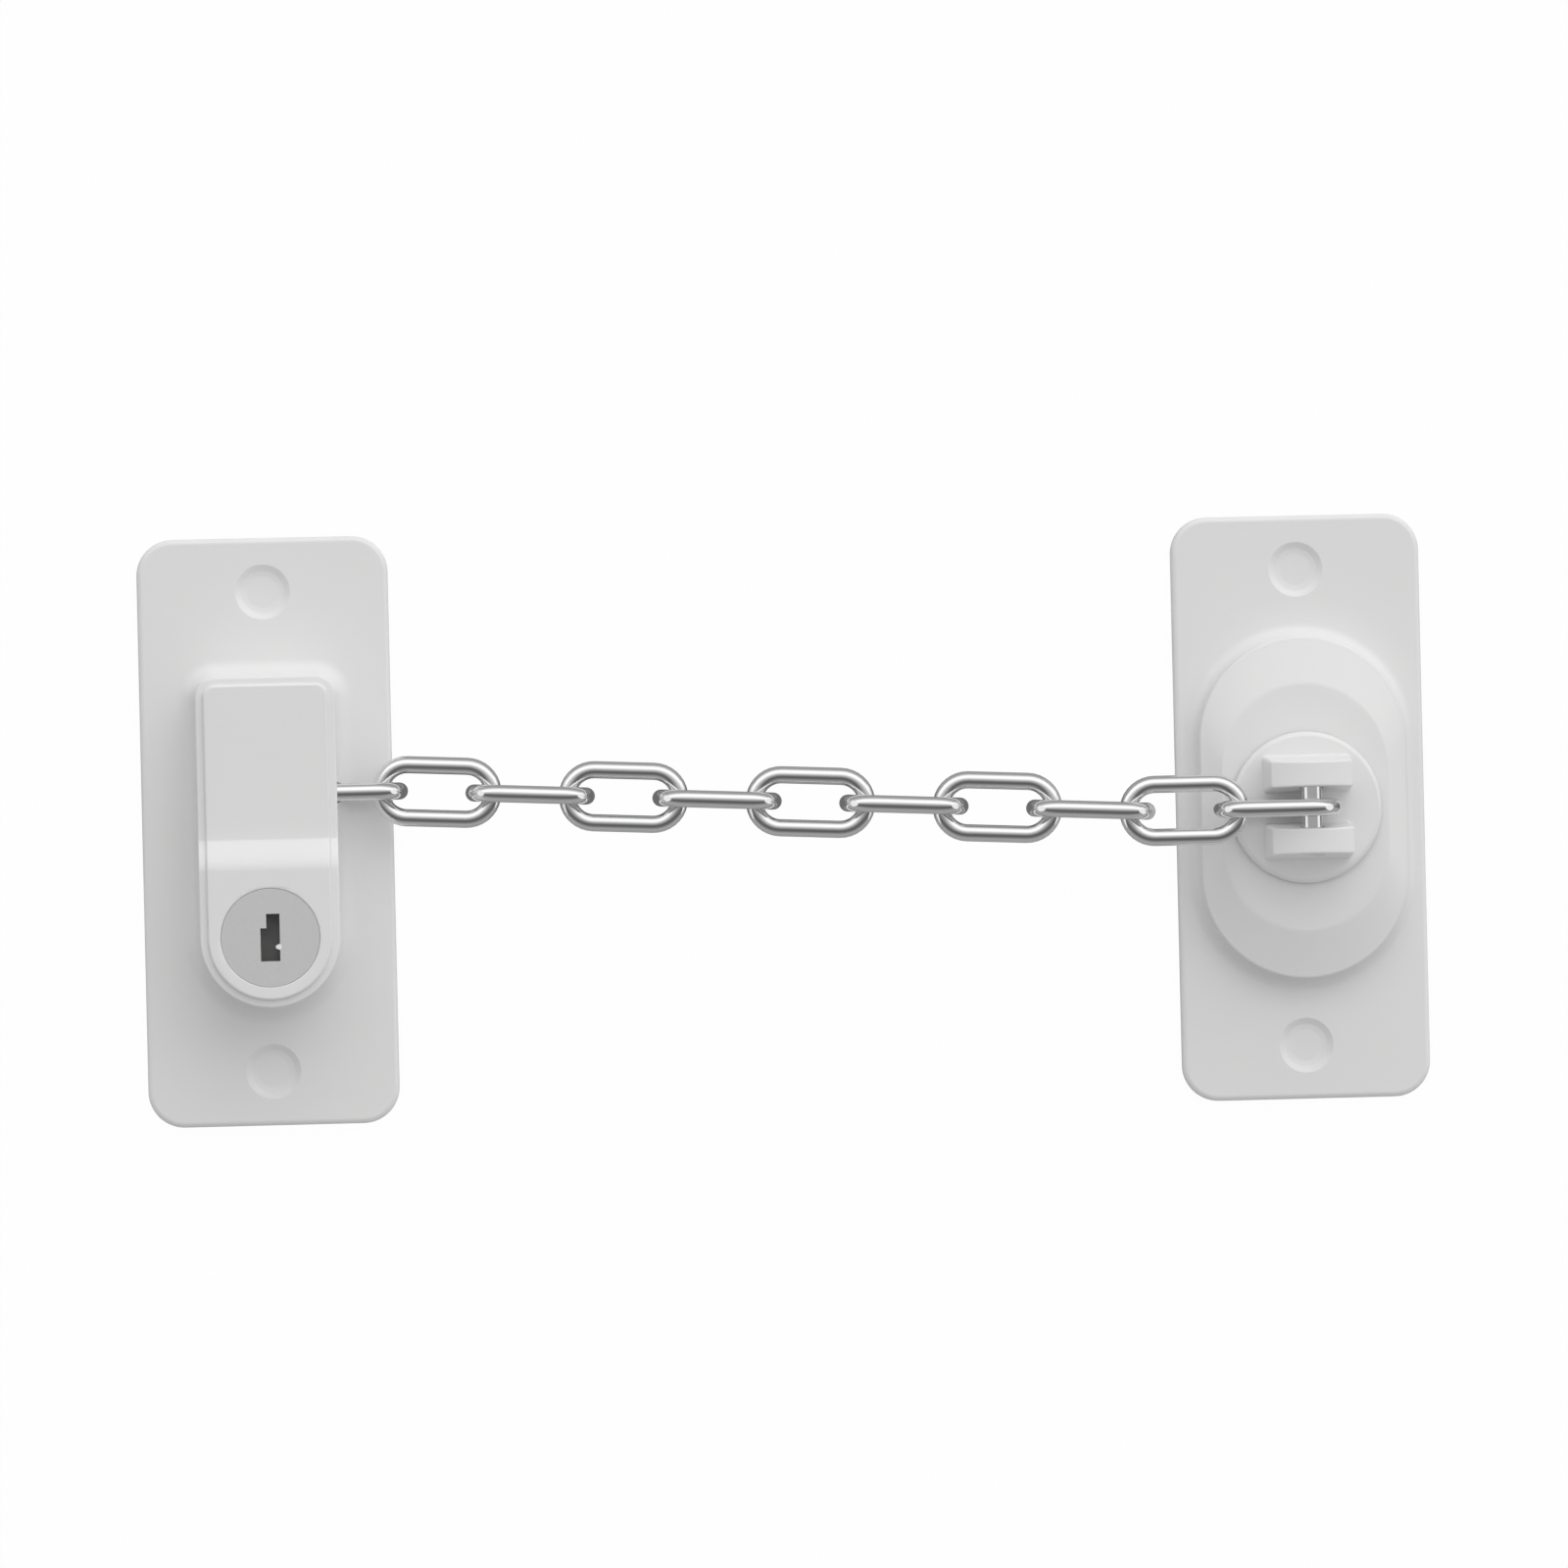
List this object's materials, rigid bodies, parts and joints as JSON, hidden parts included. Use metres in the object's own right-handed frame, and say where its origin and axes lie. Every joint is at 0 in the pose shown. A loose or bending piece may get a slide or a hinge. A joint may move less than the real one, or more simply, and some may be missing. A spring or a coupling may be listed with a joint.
{
  "type": "window lock",
  "caption": "White window lock: a keyed lock plate and a swivel anchor plate, stuck to sash and frame and joined by a bright welded chain.",
  "frame": {"origin": "centre of the back face of the lock side's adhesive pad", "axes": "+X along the chain from the lock to the anchor, +Y up the plates, +Z out of the plates' fronts"},
  "size_m": [0.1953, 0.089, 0.0219],
  "materials": {
    "white_plastic": "fine satin moulding, white",
    "cover_plastic": "matt moulding, off white",
    "foam_tape": "closed foam tape, matt grey white",
    "chromed_steel": "bright plated wire",
    "satin_zinc": "satin die cast",
    "brass": "stamped",
    "spring_steel": "drawn wire",
    "zinc_plated_steel": "plated"
  },
  "bodies": {
    "lock": {"lock_housing": "white_plastic", "lock_back_cover": "cover_plastic", "lock_adhesive_pad": "foam_tape", "lock_cover_screw_1": "zinc_plated_steel", "lock_cover_screw_2": "zinc_plated_steel", "lock_cover_screw_3": "zinc_plated_steel", "cylinder_shell": "satin_zinc"},
    "plug": {"key_plug": "satin_zinc", "cam": "zinc_plated_steel", "cam_screw": "zinc_plated_steel", "wafer_spring_1": "spring_steel", "wafer_spring_2": "spring_steel", "wafer_spring_3": "spring_steel", "wafer_spring_4": "spring_steel"},
    "wafer_1": {"wafer_1": "brass"},
    "wafer_2": {"wafer_2": "brass"},
    "wafer_3": {"wafer_3": "brass"},
    "wafer_4": {"wafer_4": "brass"},
    "bolt": {"locking_bolt": "satin_zinc"},
    "link_00": {"chain_link_00": "chromed_steel"},
    "link_01": {"chain_link_01": "chromed_steel"},
    "link_02": {"chain_link_02": "chromed_steel"},
    "link_03": {"chain_link_03": "chromed_steel"},
    "link_04": {"chain_link_04": "chromed_steel"},
    "link_05": {"chain_link_05": "chromed_steel"},
    "link_06": {"chain_link_06": "chromed_steel"},
    "link_07": {"chain_link_07": "chromed_steel"},
    "link_08": {"chain_link_08": "chromed_steel"},
    "link_09": {"chain_link_09": "chromed_steel"},
    "link_10": {"chain_link_10": "chromed_steel"},
    "swivel": {"swivel_clevis": "white_plastic", "hinge_pin": "chromed_steel", "swivel_washer": "zinc_plated_steel", "swivel_screw": "zinc_plated_steel"},
    "anchor": {"anchor_housing": "white_plastic", "anchor_back_cover": "cover_plastic", "anchor_adhesive_pad": "foam_tape", "anchor_cover_screw_1": "zinc_plated_steel", "anchor_cover_screw_2": "zinc_plated_steel", "anchor_cover_screw_3": "zinc_plated_steel", "anchor_cover_screw_4": "zinc_plated_steel"}
  },
  "joints": [
    {"name": "plug_turn", "type": "hinge", "parent": "lock", "child": "plug", "pos_m": [0, -0.0158, 0.0182], "axis": [0, 0, 1], "range_deg": [0, 90]},
    {"name": "wafer_1_slide", "type": "slide", "parent": "plug", "child": "wafer_1", "axis": [0, 1, 0], "range_m": [0, 0.0009], "stiffness_N_per_m": 40, "deforming": ["wafer_spring_1"]},
    {"name": "wafer_2_slide", "type": "slide", "parent": "plug", "child": "wafer_2", "axis": [0, 1, 0], "range_m": [0, 0.0009], "stiffness_N_per_m": 40, "deforming": ["wafer_spring_2"]},
    {"name": "wafer_3_slide", "type": "slide", "parent": "plug", "child": "wafer_3", "axis": [0, 1, 0], "range_m": [0, 0.0009], "stiffness_N_per_m": 40, "deforming": ["wafer_spring_3"]},
    {"name": "wafer_4_slide", "type": "slide", "parent": "plug", "child": "wafer_4", "axis": [0, 1, 0], "range_m": [0, 0.0009], "stiffness_N_per_m": 40, "deforming": ["wafer_spring_4"]},
    {"name": "bolt_slide", "type": "slide", "parent": "lock", "child": "bolt", "axis": [0, 1, 0], "range_m": [0, 0.00495]},
    {"name": "chain_release", "type": "slide", "parent": "lock", "child": "link_00", "axis": [1, 0, 0], "range_m": [0, 0.022]},
    {"name": "link_01_rock", "type": "hinge", "parent": "link_00", "child": "link_01", "pos_m": [0.01992, 0.0057, 0.0089], "axis": [0, 0, 1], "range_deg": [-45, 45]},
    {"name": "link_02_rock", "type": "hinge", "parent": "link_01", "child": "link_02", "pos_m": [0.03398, 0.00499, 0.00976], "axis": [0.0506, 0.9987, 0], "range_deg": [-45, 45]},
    {"name": "link_03_rock", "type": "hinge", "parent": "link_02", "child": "link_03", "pos_m": [0.04804, 0.00428, 0.01062], "axis": [0.061, -0.0031, -0.9981], "range_deg": [-45, 45]},
    {"name": "link_04_rock", "type": "hinge", "parent": "link_03", "child": "link_04", "pos_m": [0.06209, 0.00356, 0.01148], "axis": [-0.0506, -0.9987, 0], "range_deg": [-45, 45]},
    {"name": "link_05_rock", "type": "hinge", "parent": "link_04", "child": "link_05", "pos_m": [0.07615, 0.00285, 0.01234], "axis": [-0.061, 0.0031, 0.9981], "range_deg": [-45, 45]},
    {"name": "link_06_rock", "type": "hinge", "parent": "link_05", "child": "link_06", "pos_m": [0.0902, 0.00214, 0.01321], "axis": [0.0506, 0.9987, 0], "range_deg": [-45, 45]},
    {"name": "link_07_rock", "type": "hinge", "parent": "link_06", "child": "link_07", "pos_m": [0.10426, 0.00143, 0.01407], "axis": [0.061, -0.0031, -0.9981], "range_deg": [-45, 45]},
    {"name": "link_08_rock", "type": "hinge", "parent": "link_07", "child": "link_08", "pos_m": [0.11831, 0.00071, 0.01493], "axis": [-0.0506, -0.9987, 0], "range_deg": [-45, 45]},
    {"name": "link_09_rock", "type": "hinge", "parent": "link_08", "child": "link_09", "pos_m": [0.13237, 0, 0.01579], "axis": [-0.061, 0.0031, 0.9981], "range_deg": [-40, 40]},
    {"name": "link_10_rock", "type": "hinge", "parent": "link_09", "child": "link_10", "pos_m": [0.14644, 0, 0.01665], "axis": [0, 1, 0], "range_deg": [-40, 40]},
    {"name": "clevis_tilt", "type": "hinge", "parent": "link_10", "child": "swivel", "pos_m": [0.15729, 0, 0.01665], "axis": [0, -1, 0], "range_deg": [0, 150]},
    {"name": "anchor_swivel", "type": "hinge", "parent": "swivel", "child": "anchor", "pos_m": [0.15729, 0, 0.0095], "axis": [0, 0, 1], "continuous": true}
  ],
  "couplings": [
    {"joint": "plug_turn", "follows": "bolt_slide", "rad_per_m": 317.34}
  ]
}
